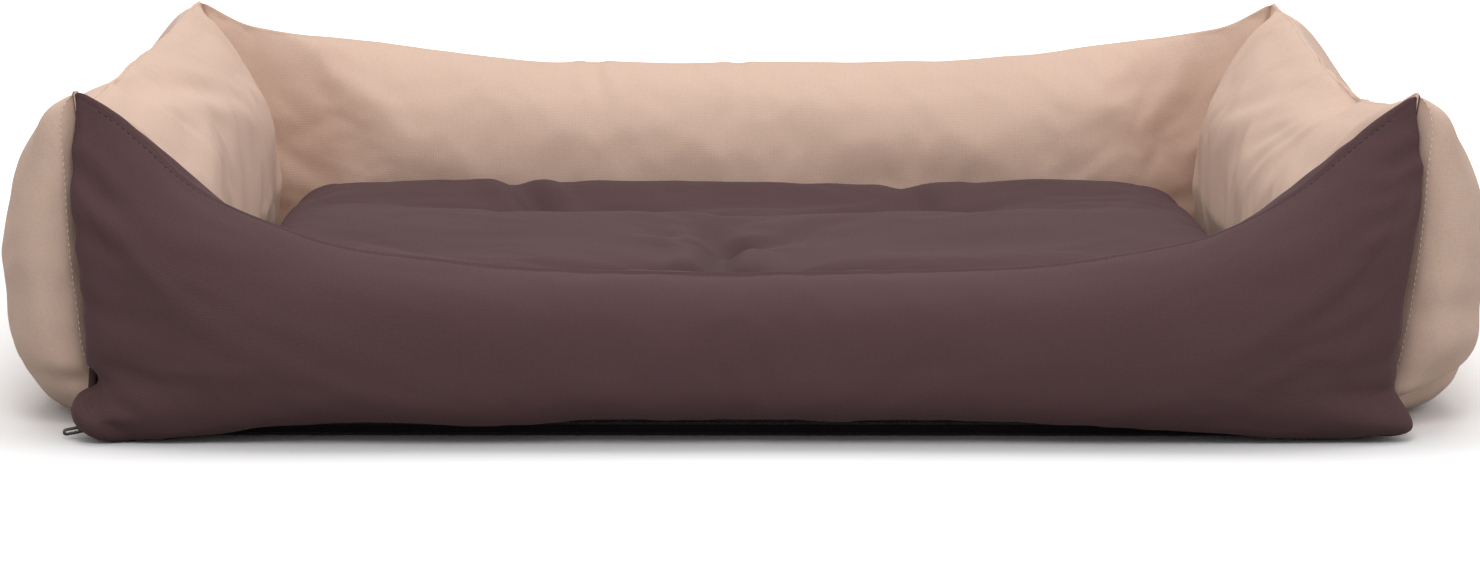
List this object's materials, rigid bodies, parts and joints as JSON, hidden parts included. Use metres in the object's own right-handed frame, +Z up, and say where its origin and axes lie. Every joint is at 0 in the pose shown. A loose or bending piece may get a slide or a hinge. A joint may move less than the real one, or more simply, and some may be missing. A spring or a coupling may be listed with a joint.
{
  "type": "dog bed",
  "caption": "Rectangular dog bed: stuffed walls pinched up at the corners, a scooped front, a loose tufted cushion and a zip along the front foot.",
  "frame": {"origin": "on the floor under the middle of the bed's bounding box", "axes": "+X to the right seen from the low front wall, -Y towards the front, +Z up"},
  "size_m": [1.0002, 0.8002, 0.228],
  "materials": {
    "brown_cloth": "fine weave, soft sheen",
    "beige_cloth": "fine weave, soft sheen",
    "base_cloth": "coarse weave, matte",
    "stuffing": "loose fibre",
    "zip_tape": "woven tape",
    "zip_coil": "satin",
    "zip_metal": "black enamel",
    "thread": "matte"
  },
  "bodies": {
    "bolster": {"front_outer_panel": "brown_cloth", "front_inner_panel": "brown_cloth", "front_wall_filling": "stuffing", "right_outer_panel": "beige_cloth", "right_inner_panel": "beige_cloth", "right_wall_filling": "stuffing", "back_outer_panel": "beige_cloth", "back_inner_panel": "beige_cloth", "back_wall_filling": "stuffing", "left_outer_panel": "beige_cloth", "left_inner_panel": "beige_cloth", "left_wall_filling": "stuffing", "base_panel": "base_cloth", "upper_zip_tape": "zip_tape", "lower_zip_tape": "zip_tape", "upper_zip_coil": "zip_coil", "lower_zip_coil": "zip_coil", "zip_end_stops": "zip_metal"},
    "cushion": {"cushion_top_panel": "brown_cloth", "cushion_bottom_panel": "base_cloth", "cushion_filling": "stuffing", "tuft_stitches": "thread"},
    "zip_slider": {"zip_slider": "zip_metal"},
    "zip_pull": {"zip_pull": "zip_metal"}
  },
  "joints": [
    {"name": "cushion_lift", "type": "slide", "parent": "bolster", "child": "cushion", "axis": [0, 0, 1], "range_m": [0, 0.27]},
    {"name": "slider_run", "type": "slide", "parent": "bolster", "child": "zip_slider", "axis": [1, 0, 0], "range_m": [0, 0.838]},
    {"name": "pull_swing", "type": "hinge", "parent": "zip_slider", "child": "zip_pull", "pos_m": [-0.421, -0.35172, 0.00872], "axis": [0, -0.6428, 0.766], "range_deg": [-13, 150]}
  ]
}
